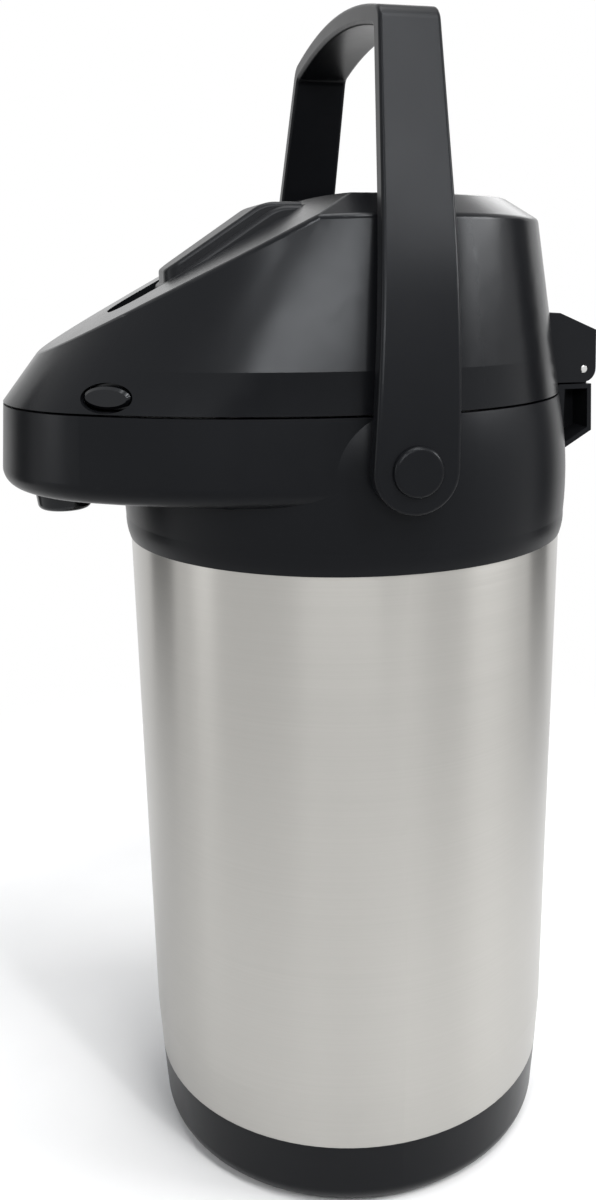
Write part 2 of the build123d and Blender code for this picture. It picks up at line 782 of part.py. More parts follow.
def slope_band(above, below):
    """Band that follows the roof slope, from above it to below it."""
    front = -nose_reach
    rear = 0.0
    return side_profile(((front, roof_height(front) + above), (rear, roof_height(rear) + above),
                         (rear, roof_height(rear) - below), (front, roof_height(front) - below)), 60.0)


def button_plane(side):
    """Plane on the lid wall, facing outwards, where a release button sits."""
    side_radius = egg_side(rear_radius, nose_reach, nose_radius)
    centre_x = rear_radius - side_radius
    run = math.sqrt(side_radius ** 2 - button_reach ** 2)
    rise = (button_height - lid_bottom) * 0.2
    outward = Vector(side * run / side_radius, -button_reach / side_radius, 0)
    along = Vector(-outward.Y, outward.X, 0)
    spot = Vector(side * (centre_x + run), -button_reach, button_height) - outward * rise
    return Plane(origin=spot, x_dir=along, z_dir=outward)


lid_outside = lid_form(0.0)
lid_inside = lid_form(lid_wall)
with BuildPart() as well_wall_block:
    add(well_block(well_wall, lid_bottom, lid_top))
    add(slope_band(10.0, well_depth), mode=Mode.INTERSECT)
    add(lid_outside, mode=Mode.INTERSECT)

with BuildPart() as lid_bosses:
    with BuildSketch(Plane.XY.offset(pan_top)):
        with Locations(*boss_spots):
            Circle(screw_boss)
    extrude(amount=lid_top - pan_top)
    add(lid_form(lid_wall / 2), mode=Mode.INTERSECT)

with BuildPart() as lid_shell:
    add(lid_outside)
    add(lid_inside, mode=Mode.SUBTRACT)
    add(well_wall_block.part)
    add(well_block(0.0, lid_bottom, lid_top + 20.0), mode=Mode.SUBTRACT)
    with BuildSketch(Plane.XZ.offset(well_rear + 3.0)):
        with Locations((0, lid_top - 6.0)):
            Rectangle(lever_arm_width + 2 * lever_gap, 44.0, align=(Align.CENTER, Align.MAX))
    extrude(amount=-8.0, mode=Mode.SUBTRACT)
    add(lid_bosses.part)
    with BuildSketch(Plane.XY.offset(pan_top)):
        with Locations(*boss_spots):
            Circle(screw_radius)
    extrude(amount=screw_length, mode=Mode.SUBTRACT)
    for side in (-1, 1):
        with BuildSketch(Plane.YZ.offset(side * (lever_arm_width / 2 + part_gap))):
            with BuildLine():
                Polyline((lever_pivot_y - 6.0, lid_top - 2.0), (lever_pivot_y - 5.0, lever_pivot_z - 5.0),
                         (lever_pivot_y + 5.0, lever_pivot_z - 5.0), (lever_pivot_y + 6.0, lid_top - 2.0),
                         close=True)
            make_face()
        extrude(amount=side * 4.0)
    add(across(lever_pin_radius, lever_pivot_y, lever_pivot_z, lever_arm_width), mode=Mode.SUBTRACT)
    add(side_profile(hinge_block_side, hinge_width / 2))
    add(across(hinge_ear_radius, hinge_y, hinge_z, hinge_width / 2))
    add(side_profile(hinge_hollow_side, knuckle_half + part_gap), mode=Mode.SUBTRACT)
    add(across(hinge_ear_radius + part_gap, hinge_y, hinge_z, knuckle_half + part_gap), mode=Mode.SUBTRACT)
    add(across(hinge_pin_radius, hinge_y, hinge_z, hinge_width), mode=Mode.SUBTRACT)
    for side in (-1, 1):
        with BuildSketch(button_plane(side).offset(-button_depth - 3.0)):
            Ellipse(button_length / 2 + button_pocket_gap, button_width / 2 + button_pocket_gap)
        extrude(amount=button_depth + 8.0, mode=Mode.SUBTRACT)

with BuildPart() as lid_pan:
    add(lid_form(lid_wall + slip_gap))
    with BuildSketch(Plane.XY.offset(lid_bottom)):
        Circle(2 * nose_reach)
        Circle(pump_radius + slip_gap, mode=Mode.SUBTRACT)
    extrude(amount=pan_thickness, mode=Mode.INTERSECT)
    for side in (-1, 1):
        with BuildSketch(button_plane(side).offset(-button_depth - button_flange - button_travel - 1.0)):
            Rectangle(button_length + 6.0, button_width + 2.0)
        extrude(amount=30.0, mode=Mode.SUBTRACT)
    with BuildSketch(Plane.XY.offset(lid_bottom)):
        with Locations(*boss_spots):
            Circle(screw_radius + run_gap)
    extrude(amount=pan_thickness, mode=Mode.SUBTRACT)
    with BuildSketch(Plane.XY.offset(lid_bottom)):
        with Locations(*boss_spots):
            Circle(screw_head + slip_gap)
    extrude(amount=screw_head_height, mode=Mode.SUBTRACT)

with BuildPart() as lid_screws:
    with BuildSketch(Plane.XY.offset(lid_bottom)):
        with Locations(*boss_spots):
            Circle(screw_head)
    extrude(amount=screw_head_height)
    with BuildSketch(Plane.XY.offset(lid_bottom + screw_head_height)):
        with Locations(*boss_spots):
            Circle(screw_radius)
    extrude(amount=pan_thickness - screw_head_height + screw_length - 1.0)

with BuildPart() as hinge_pin:
    add(across(hinge_pin_radius, hinge_y, hinge_z, hinge_width / 2 + 0.2))
    chamfer(hinge_pin.edges().filter_by(GeomType.CIRCLE), 0.3)

# Pump base: a dish that hangs through the pan, with the air outlet and the mouth seal
with BuildPart() as pump_base:
    with BuildSketch(Plane.XZ):
        with BuildLine():
            Polyline((0, pump_floor_height), (pump_radius, pump_floor_height), (pump_radius, pan_top),
                     (pump_radius + 4.0, pan_top), (pump_radius + 4.0, pan_top + pump_flange),
                     (pump_radius - 2.0, pan_top + pump_flange), (pump_radius - 2.0, bellows_bottom),
                     (0, bellows_bottom), (0, pump_floor_height))
        make_face()
    revolve(axis=Axis.Z)
    with BuildSketch(Plane.XY.offset(pump_floor_height)):
        with PolarLocations(6.0, 6):
            Circle(1.6)
        Circle(1.5)
    extrude(amount=bellows_bottom - pump_floor_height, mode=Mode.SUBTRACT)

with BuildPart() as lid_seal:
    add(ring(seal_inner, seal_outer, ring_top + seal_gap, pump_floor_height))
    fillet(lid_seal.edges().group_by(Axis.Z)[0], 1.2)

with BuildPart() as outlet_valve:
    with BuildSketch(Plane.XY.offset(pump_floor_height)):
        Circle(10.0)
    extrude(amount=-1.0)
    with BuildSketch(Plane.XY.offset(pump_floor_height)):
        Circle(1.5)
    extrude(amount=bellows_bottom - pump_floor_height)

# Bellows and the spring inside it
with BuildPart() as bellows:
    pitch = bellows_height / bellows_folds
    crest = bellows_radius
    root = bellows_radius - bellows_fold
    outside = [(crest - bellows_fold, bellows_bottom)]
    inside = [(crest - bellows_fold - bellows_wall, bellows_bottom)]
    for fold in range(bellows_folds):
        base = bellows_bottom + fold * pitch
        outside += [(crest, base + 0.3 * pitch), (crest, base + 0.7 * pitch), (root, base + pitch)]
        inside += [(crest - bellows_wall, base + 0.3 * pitch), (crest - bellows_wall, base + 0.7 * pitch),
                   (root - bellows_wall, base + pitch)]
    with BuildSketch(Plane.XZ):
        with BuildLine():
            Polyline(*outside, *reversed(inside), close=True)
        make_face()
    revolve(axis=Axis.Z)

spring_height = bellows_height - 2 * spring_wire
with BuildPart() as return_spring:
    with BuildLine() as coil:
        Helix(spring_height / spring_turns, spring_height, spring_radius,
              center=(0, 0, bellows_bottom + spring_wire))
    with BuildSketch(Plane(origin=coil.line @ 0, z_dir=coil.line % 0)):
        RegularPolygon(spring_wire, 8)
    sweep(is_frenet=True)

# Pump plate on top of the bellows, with its inlet flap
with BuildPart() as pump_plate:
    with BuildSketch(Plane.XY.offset(bellows_top)):
        Circle(bellows_radius - 2.0)
    extrude(amount=plate_thickness)
    fillet(pump_plate.edges().group_by(Axis.Z)[-1], 1.0)
    with BuildSketch(Plane.XY.offset(bellows_top)):
        with PolarLocations(inlet_hole_reach, 4, start_angle=45):
            Circle(inlet_hole_radius)
    extrude(amount=plate_thickness, mode=Mode.SUBTRACT)
    with BuildSketch(Plane.XY.offset(bellows_top + plate_thickness)):
        Rectangle(lever_arm_width, 16.0)
    extrude(amount=plate_boss)

with BuildPart() as inlet_valve:
    add(ring(inlet_hole_reach - 3.2, inlet_hole_reach + 3.2, bellows_top - 0.8, bellows_top))

# Lever: a base over the slope, a raised pad on it and the arm inside the lid
def paddle_block(inset, front_drop, rear_drop):
    """Sloping block with the lever's plan, narrowed by the inset, with its top lowered."""
    rear = -well_rear - lever_gap / 2
    front_high = lever_front_height - front_drop
    rear_high = lever_shoulder_height - rear_drop
    shoulder = (-lever_front + (rear_high - front_high) / lever_slope, rear_high)
    low = lever_front_height - lever_thickness
    under = lever_shoulder_height - lever_thickness
    with BuildPart() as form:
        with BuildSketch(Plane.YZ) as side_view:
            with BuildLine():
                Polyline((-lever_front, low + 3.0), (-lever_front, front_high), shoulder, (rear, rear_high),
                         (rear, under), (lever_shoulder_y + 3.0, under), (-lever_front + 3.0, low), close=True)
            make_face()
            fillet(side_view.vertices().sort_by_distance(Vector(*shoulder))[0], shoulder_round)
        extrude(amount=lever_rear_width, both=True)
        half_front = lever_front_width / 2 - inset
        half_rear = lever_rear_width / 2 - inset
        front = -lever_front + inset / 2
        with BuildSketch(Plane.XY.offset(lever_pivot_z - 40.0)) as plan:
            with BuildLine():
                Polyline((-half_rear, -well_rear), (-half_front, front), (half_front, front),
                         (half_rear, -well_rear), close=True)
            make_face()
            fillet(plan.vertices().sort_by(Axis.Y)[:2], lever_corner - inset / 2)
        extrude(amount=80.0, mode=Mode.INTERSECT)

        def on_top_rim(edge):
            middle = edge @ 0.5
            top = min(front_high + (middle.Y + lever_front) * lever_slope, rear_high)
            return abs(middle.Z - top) < 0.8 and (abs(middle.X) > 5.0 or middle.Y < front + 1.0)

        fillet(form.edges().filter_by(on_top_rim), pad_round)
    return form.part


with BuildPart() as lever:
    add(paddle_block(0.0, pad_rise_front, pad_rise_rear))
    add(paddle_block(pad_inset, 0.0, 0.0))
    add(side_profile(((arm_front, lever_shoulder_height - arm_drop),
                      (-well_rear - 1.0, lever_shoulder_height - arm_drop + 1.0),
                      (arm_rear, lever_shoulder_height - arm_drop), (lever_pivot_y, lever_pivot_z + lever_barrel),
                      (lever_pivot_y, lever_pivot_z - lever_barrel), (arm_rear, nose_height - 2.5),
                      (arm_front, nose_height + 4.5)),
                     lever_arm_width / 2))
    add(across(lever_barrel, lever_pivot_y, lever_pivot_z, lever_arm_width / 2))
    add(across(lever_nose, 0.0, nose_height, lever_arm_width / 2 - 4.0))
    add(across(lever_pin_radius + run_gap, lever_pivot_y, lever_pivot_z, lever_arm_width), mode=Mode.SUBTRACT)

with BuildPart() as lever_pin:
    add(across(lever_pin_radius, lever_pivot_y, lever_pivot_z, lever_arm_width / 2 + 4.0))

# Release buttons: an oval pad with a rim, a stem and a flange inside the wall
buttons = {}
for side, name in ((-1, "release_button_left"), (1, "release_button_right")):
    face = button_plane(side)
    with BuildPart() as button:
        with BuildSketch(face.offset(-button_depth)):
            Ellipse(button_length / 2, button_width / 2)
        extrude(amount=button_depth - button_recess)
        chamfer(button.faces().sort_by(Axis(face.origin, face.z_dir))[-1].edges(), 0.9)
        with BuildSketch(face.offset(-button_depth - button_flange)):
            Ellipse(button_length / 2 + 2.0, button_width / 2 + button_flange_edge)
        extrude(amount=button_flange)
    buttons[name] = button

pieces = {
    "outer_shell": outer_shell, "inner_liner": inner_liner, "base_cup": base_cup, "foot_pad": foot_pad,
    "collar": collar, "beak_plate": beak_plate, "beak_screws": beak_screws, "nozzle": nozzle,
    "neck_ring": neck_ring, "neck_gasket": neck_gasket, "pipe_grommet": pipe_grommet,
    "siphon_head": siphon_head, "siphon_tube": siphon_tube, "delivery_pipe": delivery_pipe,
    "handle_pivots": handle_pivots, "handle": handle, "lid_shell": lid_shell, "lid_pan": lid_pan,
    "lid_screws": lid_screws, "hinge_pin": hinge_pin, "pump_base": pump_base, "lid_seal": lid_seal,
    "outlet_valve": outlet_valve, "bellows": bellows, "return_spring": return_spring,
    "pump_plate": pump_plate, "inlet_valve": inlet_valve, "lever": lever, "lever_pin": lever_pin,
}
pieces.update(buttons)
for name, piece in pieces.items():
    piece.part.label = name
    print(name, len(piece.solids()), round(piece.part.volume), piece.part.is_valid)
    export_step(piece.part, f"parts/{name}.step")
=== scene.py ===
# %% [markdown]
# # Lever airpot
# A steel vacuum flask with a black lever pump in its lid. The fixed frame is the imported model: its bodies
# move, and every new piece rides on one of them. Everything is in metres, with the spout towards -Y.

# %% The frame
import json
import math

import bpy
import numpy as np
from mathutils import Matrix, Vector

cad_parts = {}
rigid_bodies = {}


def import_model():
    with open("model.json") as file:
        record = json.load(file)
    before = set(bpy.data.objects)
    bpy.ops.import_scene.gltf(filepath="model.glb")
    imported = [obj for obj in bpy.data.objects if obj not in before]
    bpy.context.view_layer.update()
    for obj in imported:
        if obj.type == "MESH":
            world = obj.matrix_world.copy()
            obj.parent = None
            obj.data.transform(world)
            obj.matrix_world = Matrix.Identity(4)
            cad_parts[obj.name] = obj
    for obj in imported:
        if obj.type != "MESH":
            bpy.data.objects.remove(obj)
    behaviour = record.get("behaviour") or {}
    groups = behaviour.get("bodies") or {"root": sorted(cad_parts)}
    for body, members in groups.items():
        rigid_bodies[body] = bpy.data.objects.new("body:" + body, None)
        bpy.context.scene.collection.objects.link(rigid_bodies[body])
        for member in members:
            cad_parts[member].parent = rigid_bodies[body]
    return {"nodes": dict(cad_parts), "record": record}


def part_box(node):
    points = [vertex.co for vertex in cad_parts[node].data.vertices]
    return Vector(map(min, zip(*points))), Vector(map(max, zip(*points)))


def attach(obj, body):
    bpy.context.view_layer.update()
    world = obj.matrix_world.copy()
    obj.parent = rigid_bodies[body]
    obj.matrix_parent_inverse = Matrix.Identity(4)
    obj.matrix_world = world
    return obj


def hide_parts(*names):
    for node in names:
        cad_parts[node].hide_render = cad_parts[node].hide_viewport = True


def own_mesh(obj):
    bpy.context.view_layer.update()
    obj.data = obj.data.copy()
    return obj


for leftover in list(bpy.data.objects):
    bpy.data.objects.remove(leftover)
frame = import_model()
bpy.context.view_layer.update()
nodes = frame["nodes"]
MM = 0.001
WHITE = (1, 1, 1, 1)


def added(name, data):
    """A new object of the scene, at the origin."""
    thing = bpy.data.objects.new(name, data)
    bpy.context.scene.collection.objects.link(thing)
    return thing


# %% [markdown]
# ## Camera
# The photograph fixes the camera. Its place could be guessed and moved until the picture fits, but the
# flask is round, so the ellipses of its rims and the lean of its upright edges give it outright: the
# camera stands to the right of the pot and a little in front of it, and looks slightly down. The focal
# length is in pixels of the long side, which is the side that the sensor width belongs to.

# %% Camera
VIEW_WIDTH_PX = 596
VIEW_HEIGHT_PX = 1200
FOCAL_PX = 1143.0
PRINCIPAL_PX = (345.2, 581.5)
SENSOR_WIDTH = 36.0
NEAREST_SEEN = 0.01
AZIMUTH = 1.3173
DISTANCE = 0.447
EYE_HEIGHT = 0.355
PITCH = 0.270
ROLL = -0.0083

lens = bpy.data.cameras.new("camera")
lens.sensor_width = SENSOR_WIDTH
lens.lens = SENSOR_WIDTH * FOCAL_PX / VIEW_HEIGHT_PX
lens.shift_x = (VIEW_WIDTH_PX / 2 - PRINCIPAL_PX[0]) / VIEW_HEIGHT_PX
lens.shift_y = (PRINCIPAL_PX[1] - VIEW_HEIGHT_PX / 2) / VIEW_HEIGHT_PX
lens.clip_start = NEAREST_SEEN
level_look = Vector((-math.sin(AZIMUTH), math.cos(AZIMUTH), 0))
look = level_look * math.cos(PITCH) - Vector((0, 0, math.sin(PITCH)))
level_right = Vector((math.cos(AZIMUTH), math.sin(AZIMUTH), 0))
level_up = level_right.cross(look)
right = level_right * math.cos(ROLL) + level_up * math.sin(ROLL)
up = level_up * math.cos(ROLL) - level_right * math.sin(ROLL)
eye = Vector((0, 0, EYE_HEIGHT)) - level_look * DISTANCE
camera = added("camera", lens)
camera.matrix_world = Matrix.Translation(eye) @ Matrix((right, up, -look)).transposed().to_4x4()
bpy.context.scene.camera = camera
bpy.context.scene.view_settings.view_transform = "Standard"
print("lens", round(lens.lens, 2), "mm, eye at", [round(c, 3) for c in eye])

# %% [markdown]
# ## Shader tools
# A finish on the real pot is a few layers of noise: the brush's scratches, the grain of the mould, the
# cloudy gloss of handled plastic. Such a finish could be wired by hand in the node editor, but written as
# sums and products it can be read like a recipe. So a small class lets a socket be added to and
# multiplied, and one method makes any other node.

# %% Socket arithmetic
class Wire:
    """One output socket. Arithmetic on it adds a Math node."""

    def __init__(self, tree, socket):
        self.tree = tree
        self.socket = socket

    def math(self, operation, first, second):
        """Math node on two values, each a number or a Wire."""
        node = self.tree.nodes.new("ShaderNodeMath")
        node.operation = operation
        for slot, value in zip(node.inputs, (first, second)):
            if isinstance(value, Wire):
                self.tree.links.new(value.socket, slot)
            else:
                slot.default_value = value
        return Wire(self.tree, node.outputs[0])

    def __add__(self, other):
        return self.math("ADD", self, other)

    def __mul__(self, other):
        return self.math("MULTIPLY", self, other)

    def __sub__(self, other):
        return self.math("SUBTRACT", self, other)

    def __rsub__(self, other):
        return self.math("SUBTRACT", other, self)

    __radd__ = __add__
    __rmul__ = __mul__

    def lower(self, other):
        """The smaller of this and another value."""
        return self.math("MINIMUM", self, other)

    def higher(self, other):
        """The larger of this and another value."""
        return self.math("MAXIMUM", self, other)


# %% Node trees
class Nodes:
    """A node tree being wired up, empty at first."""

    def __init__(self, tree):
        self.tree = tree
        self.tree.nodes.clear()

    def node(self, kind, settings=None, inputs=None, output=0):
        """A node of a type, its settings first and then its sockets, as the Wire of one output."""
        node = self.tree.nodes.new(kind)
        for key, value in (settings or {}).items():
            setattr(node, key, value)
        for key, value in (inputs or {}).items():
            if isinstance(value, Wire):
                self.tree.links.new(value.socket, node.inputs[key])
            else:
                node.inputs[key].default_value = value
        return Wire(self.tree, node.outputs[output])

    def show(self, shader, output_kind="ShaderNodeOutputMaterial"):
        """Joins a shader to the tree's output."""
        self.tree.links.new(shader.socket, self.tree.nodes.new(output_kind).inputs["Surface"])


# %% Finishes as node trees
class Finish(Nodes):
    """A material being wired up."""

    def __init__(self, name):
        self.material = bpy.data.materials.new(name)
        self.material.use_nodes = True
        super().__init__(self.material.node_tree)

    def place(self):
        """The point on the object, in metres."""
        return self.node("ShaderNodeTexCoord", output="Object")

    def noise(self, stretch, detail=2.0):
        """Noise from 0 to 1, with a frequency for each axis in cycles per metre."""
        spread = self.node("ShaderNodeMapping", inputs={"Vector": self.place(), "Scale": stretch})
        return self.node("ShaderNodeTexNoise", inputs={"Vector": spread, "Scale": 1.0, "Detail": detail})

    def ease(self, value, start, end):
        """0 at the start and 1 at the end, with a smooth step between them."""
        return self.node("ShaderNodeMapRange", {"interpolation_type": "SMOOTHSTEP"},
                         {"Value": value, "From Min": start, "From Max": end})

    def tint(self, mask, low, high):
        """Colour between two colours by a mask. The numbers are the places of the Mix node's sockets."""
        sockets = {0: mask, 6: (*low, 1), 7: (*high, 1)}
        return self.node("ShaderNodeMix", {"data_type": "RGBA"}, sockets, output=2)

    def bump(self, height, distance, strength=1.0):
        """Normal from a height, with the distance in metres."""
        return self.node("ShaderNodeBump",
                         inputs={"Height": height, "Distance": distance, "Strength": strength})

    def shade(self, sockets):
        """The material, with its Principled shader's sockets by name."""
        self.show(self.node("ShaderNodeBsdfPrincipled", inputs=sockets))
        print("finish", self.material.name)
        return self.material


def shades_of(colour, dark, light):
    """A darker and a lighter shade of one colour."""
    return tuple(dark * c for c in colour), tuple(light * c for c in colour)


# %% [markdown]
# ## Brushed steel
# The flask is stainless steel brushed round and round, so its scratches are long across and very fine up
# and down. They could be drawn as an image, but noise that is stretched along two axes gives them at any
# distance and has no seam. Such a surface smears a reflection across its scratches, up and down the flask.
# That is what the anisotropy does, and the quarter turn sets its direction.

# %% Brushed steel
HAIR_SCRATCHES = (14, 14, 5200)
BROAD_SCRATCHES = (5, 5, 1500)
METAL_CLOUDS = (11, 11, 6)
SCRATCH_DETAIL = 3.0
SCRATCH_DEPTH = 0.004 * MM
SCRATCH_STRENGTH = 0.5
SMEAR = 0.9
QUARTER_TURN = 0.25


def brushed_steel(name, colour, roughness):
    """Metal whose tone = 0.4 hair scratches + 0.35 broad scratches + 0.25 clouds."""
    finish = Finish(name)
    hair = finish.noise(HAIR_SCRATCHES, SCRATCH_DETAIL)
    broad = finish.noise(BROAD_SCRATCHES, SCRATCH_DETAIL)
    tone = hair * 0.4 + broad * 0.35 + finish.noise(METAL_CLOUDS) * 0.25
    return finish.shade({
        "Base Color": finish.tint(tone, *shades_of(colour, 0.9, 1.1)),
        "Metallic": 1.0,
        "Roughness": roughness + (tone - 0.5) * 0.12,
        "Anisotropic": SMEAR,
        "Anisotropic Rotation": QUARTER_TURN,
        "Normal": finish.bump(hair + broad, SCRATCH_DEPTH, SCRATCH_STRENGTH),
    })


steel = brushed_steel("brushed_steel", (0.405, 0.396, 0.376), 0.30)

# %% [markdown]
# ## Pins, screws and liner
# The pins and screws are bright steel that was turned and tumbled, and the liner is polished inside. None
# of them has a direction in its scratches, so plain noise of one size in all directions is enough.

# %% Small bright metal
FINE_SCRATCHES = (900, 900, 900)
FINE_DEPTH = 0.008 * MM


def bright_metal(name, colour, roughness):
    """Bright steel, faintly scratched all over."""
    finish = Finish(name)
    fine = finish.noise(FINE_SCRATCHES, SCRATCH_DETAIL)
    return finish.shade({
        "Base Color": finish.tint(fine, *shades_of(colour, 0.85, 1.0)),
        "Metallic": 1.0,
        "Roughness": roughness + (fine - 0.5) * 0.2,
        "Normal": finish.bump(fine, FINE_DEPTH),
    })


screw_steel = bright_metal("bright_steel", (0.66, 0.66, 0.65), 0.26)
liner_steel = bright_metal("liner_steel", (0.62, 0.61, 0.60), 0.32)

# %% [markdown]
# ## Moulded plastics
# The black parts are moulded plastic with a satin bloom: very dark, faintly cloudy where hands have rubbed
# it, with a grain that only shows where light grazes it. A lower roughness alone would make the whole part
# shine, so three noises share the work: clouds and rubbed patches in the gloss, and the mould's grain in
# the bump. The gleam is the specular level, kept low so that the white room doesn't turn the black parts
# grey.

# %% Moulded plastic
RUBBED_PATCHES = (160, 160, 160)
PLASTIC_CLOUDS = (28, 28, 28)
CLOUD_DETAIL = 4.0
PATCH_DETAIL = 3.0
MOULD_GRAIN = 2600
GRAIN_DEPTH = 0.004 * MM
COOL = (0.93, 0.96, 1.0, 1)


def moulded(name, colour, roughness, grain=MOULD_GRAIN, grain_depth=GRAIN_DEPTH, cloudy=0.05, gleam=0.5,
            relief=None, glint=WHITE):
    """Plastic whose roughness = base + cloudy * (clouds + patches - 1). A relief is a function of the finish
    that gives one more height in metres."""
    finish = Finish(name)
    fine = finish.noise((grain, grain, grain))
    clouds = finish.noise(PLASTIC_CLOUDS, CLOUD_DETAIL)
    rubbed = finish.noise(RUBBED_PATCHES, PATCH_DETAIL)
    height = fine * grain_depth
    if relief:
        height = height + relief(finish)
    return finish.shade({
        "Base Color": finish.tint(clouds * 0.6 + fine * 0.4, *shades_of(colour, 0.8, 1.25)),
        "Roughness": roughness + (clouds - 0.5) * cloudy + (rubbed - 0.5) * cloudy,
        "Specular IOR Level": gleam,
        "Specular Tint": glint,
        "Normal": finish.bump(height, 1.0),
    })


# %% Plastics and rubbers
black_plastic = moulded("satin_black", (0.0044, 0.0047, 0.0056), 0.30, gleam=0.115, glint=COOL)
lever_plastic = moulded("lever_black", (0.0056, 0.0058, 0.0066), 0.36, grain_depth=0.006 * MM, gleam=0.16,
                        glint=COOL)
gloss_black = moulded("gloss_black", (0.0038, 0.0040, 0.0048), 0.16, grain=1500, grain_depth=0.002 * MM,
                      cloudy=0.04, gleam=0.3, glint=COOL)
white_plastic = moulded("pump_white", (0.74, 0.74, 0.72), 0.38, grain=1200, grain_depth=0.008 * MM)
silicone = moulded("seal_silicone", (0.62, 0.62, 0.60), 0.50, grain=900, grain_depth=0.01 * MM, cloudy=0.1)
rubber = moulded("rubber", (0.02, 0.02, 0.02), 0.62, grain=1700, grain_depth=0.01 * MM, cloudy=0.1,
                 gleam=0.3)

# %% [markdown]
# ## The lid's crease
# The lid's walls lean in, but their lowest 13 mm stand nearly upright, so a soft crease runs round the lid
# above its joint with the collar. It fades out towards the nose and stops at the hinge block. The fixed
# solid has a straight wall there, and the change is a slope of a few degrees with no change of outline, so
# a height in the finish carries it: below the crease, the height falls in proportion to the depth below
# it.

# %% Lid plastic with its crease
CREASE_HEIGHT = 322.5 * MM
CREASE_SLOPE = 0.15
CREASE_FADED_Y = -98 * MM
CREASE_FULL_Y = -50 * MM
CREASE_STOP_Y = 75.5 * MM
CREASE_STOP_WIDTH = 1.0 * MM


def skirt_relief(finish):
    """Height = slope * depth below the crease * eased distance from the nose * in front of the hinge."""
    split = finish.node("ShaderNodeSeparateXYZ", inputs={0: finish.place()}).socket.node
    y, z = (Wire(finish.tree, split.outputs[axis]) for axis in ("Y", "Z"))
    depth = (z - CREASE_HEIGHT).lower(0.0)
    past_nose = finish.ease(y, CREASE_FADED_Y, CREASE_FULL_Y)
    before_hinge = finish.ease(y, CREASE_STOP_Y + CREASE_STOP_WIDTH, CREASE_STOP_Y)
    return depth * past_nose * before_hinge * CREASE_SLOPE


lid_plastic = moulded("lid_black", (0.0048, 0.0051, 0.0060), 0.22, gleam=0.15, relief=skirt_relief,
                      glint=COOL)

# %% [markdown]
# ## Every piece gets its finish
# Each fixed piece arrives with a plain material named after what it is made of. That name picks the
# finish, and the few pieces whose surface differs from others of the same stuff are listed by their own
# names.

# %% Finishes on the fixed pieces
finish_by_stuff = {
    "steel": steel,
    "screw_steel": screw_steel,
    "black_plastic": black_plastic,
    "gloss_black": gloss_black,
    "white_plastic": white_plastic,
    "silicone": silicone,
    "rubber": rubber,
}
finish_by_piece = {
    "inner_liner": liner_steel,
    "lever": lever_plastic,
    "lid_shell": lid_plastic,
    "release_button_left": gloss_black,
    "release_button_right": gloss_black,
}
for name, node in nodes.items():
    stuff = node.data.materials[0].name.split(".")[0]
    node.data.materials[0] = finish_by_piece.get(name, finish_by_stuff[stuff])
print(len(nodes), "pieces finished")

# %% [markdown]
# ## Bellows and return spring
# Pressing the lever pushes the pump plate down. In the real pot the rubber bellows folds up under the
# plate and the spring inside it closes. These two stand for the fixed bellows and spring, which are hidden:
# both are drawn between the same heights and ride on the lid at their full height. Both shapes are grids of
# points: one direction runs along a line, and the other runs round it.

# %% How a piece of the pump is made
SEAT_GAP = 0.02 * MM
bellows_low, bellows_high = (Vector(corner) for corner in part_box("bellows"))
pump_bottom = bellows_low.z
pump_top = bellows_high.z - SEAT_GAP
pump_travel = next(joint["range_m"][1] for joint in frame["record"]["behaviour"]["joints"]
                   if joint["name"] == "pump_slide")
print("pump from", round(pump_bottom, 4), "to", round(pump_top, 4), "m, travel", pump_travel, "m")


def grid_faces(rows, columns, closed):
    """Corners of a grid's quads. Each row closes on itself, and where closed, the last row meets the
    first."""
    row, column = np.meshgrid(np.arange(rows if closed else rows - 1), np.arange(columns), indexing="ij")
    next_row, next_column = (row + 1) % rows, (column + 1) % columns
    corners = (row * columns + column, row * columns + next_column,
               next_row * columns + next_column, next_row * columns + column)
    return np.stack(corners, axis=-1).reshape(-1, 4).tolist()


def pump_piece(name, x, y, z, faces, node_name):
    """A smooth mesh that stands for a piece of the pump, rides on the lid and hides the fixed piece."""
    mesh = bpy.data.meshes.new(name)
    mesh.from_pydata(np.stack((x, y, z), axis=-1).reshape(-1, 3), [], faces)
    mesh.materials.append(nodes[node_name].data.materials[0])
    mesh.shade_smooth()
    piece = added(name, mesh)
    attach(piece, "lid")
    1 - pump_travel / (bellows_high.z - pump_bottom)
    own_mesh(piece)
    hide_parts(node_name)
    print(name, len(mesh.vertices), "points")
    return piece


# %% [markdown]
# ### Bellows
# The bellows is a rubber tube with five folds. Its flanks could be drawn straight, but moulded rubber is round
# at every crest and root, so a cosine swells and shrinks the tube along its height. The power makes the crests
# fuller than the roots.

# %% Bellows
FOLDS = 5
FOLD_DEPTH = 6.0 * MM
FOLD_STEPS = 12
FOLD_FULLNESS = 0.7
BELLOWS_WALL = 1.0 * MM
ROUND_STEPS = 72


def bellows_folds():
    """Radius = crest - depth * (1 - swell), with swell = ((1 - cos(2 pi fold)) / 2) ^ fullness. The line runs
    up the outside and back down the inside, one wall further in, and is carried round the axis."""
    along = np.arange(FOLDS * FOLD_STEPS + 1) / FOLD_STEPS
    swell = (0.5 - 0.5 * np.cos(2 * np.pi * along)) ** FOLD_FULLNESS
    outer = bellows_high.x - FOLD_DEPTH * (1 - swell)
    rise = pump_bottom + (pump_top - pump_bottom) * along / FOLDS
    radius = np.concatenate((outer, outer[::-1] - BELLOWS_WALL))[:, None]
    angle = np.linspace(0, 2 * np.pi, ROUND_STEPS, endpoint=False)[None, :]
    height = np.concatenate((rise, rise[::-1]))[:, None] + 0 * angle
    return pump_piece("bellows_folds", radius * np.cos(angle), radius * np.sin(angle), height,
                      grid_faces(len(radius), ROUND_STEPS, True), "bellows")


bellows = bellows_folds()
